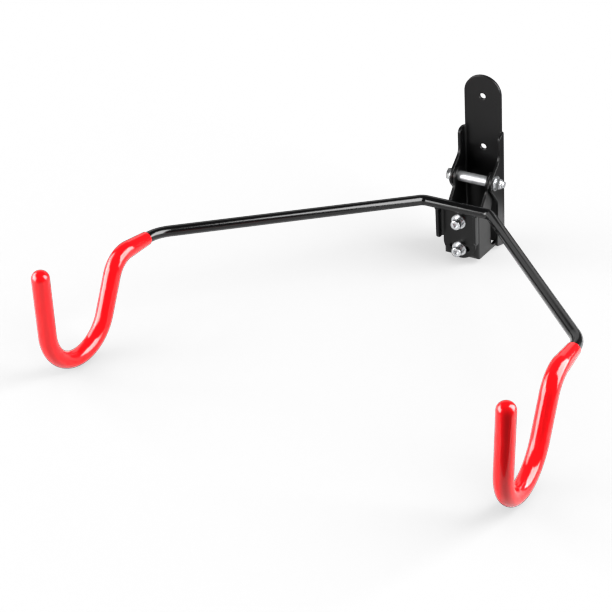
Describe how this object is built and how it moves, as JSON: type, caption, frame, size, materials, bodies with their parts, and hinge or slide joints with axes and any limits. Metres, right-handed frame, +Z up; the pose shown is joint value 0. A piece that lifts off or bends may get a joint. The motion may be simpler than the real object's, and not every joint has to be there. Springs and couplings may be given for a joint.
{
  "type": "bicycle storage hook",
  "caption": "Folding wall hook for a bicycle: a bent steel rod with two dipped hooks on a plate that tilts, on a bracket that folds up.",
  "frame": {"origin": "on the wall plane at the back of the wall bracket, on its middle line, level with the fold pivot", "axes": "+X along the wall to the right as seen from the room, +Y into the wall, +Z up; the arms reach towards -Y"},
  "size_m": [0.442, 0.444, 0.1877],
  "materials": {
    "satin_black": "satin powder coat",
    "gloss_black": "gloss powder coat",
    "red_coat": "thick glossy dip",
    "zinc": "bright zinc plate"
  },
  "bodies": {
    "base": {"wall_bracket": "satin_black", "pivot_bolt": "zinc", "pivot_nut": "zinc", "pivot_washer_left": "zinc", "pivot_washer_right": "zinc", "inner_washer_left": "zinc", "inner_washer_right": "zinc"},
    "fold": {"fold_bracket": "satin_black", "pivot_spacer": "zinc", "clamp_washer_upper": "zinc", "clamp_washer_lower": "zinc", "spring_washer_upper": "zinc", "spring_washer_lower": "zinc", "clamp_screw_upper": "zinc", "clamp_screw_lower": "zinc", "clamp_nut_upper": "zinc", "clamp_nut_lower": "zinc"},
    "arm": {"arm_plate": "satin_black", "arm_rod": "gloss_black", "hook_coat_left": "red_coat", "hook_coat_right": "red_coat"}
  },
  "joints": [
    {"name": "fold_hinge", "type": "hinge", "parent": "base", "child": "fold", "pos_m": [0, -0.0248, 0], "axis": [-1, 0, 0], "range_deg": [0, 80]},
    {"name": "tilt_hinge", "type": "hinge", "parent": "fold", "child": "arm", "pos_m": [0, -0.0618, -0.0279], "axis": [0, -1, 0], "range_deg": [-14, 14]}
  ]
}
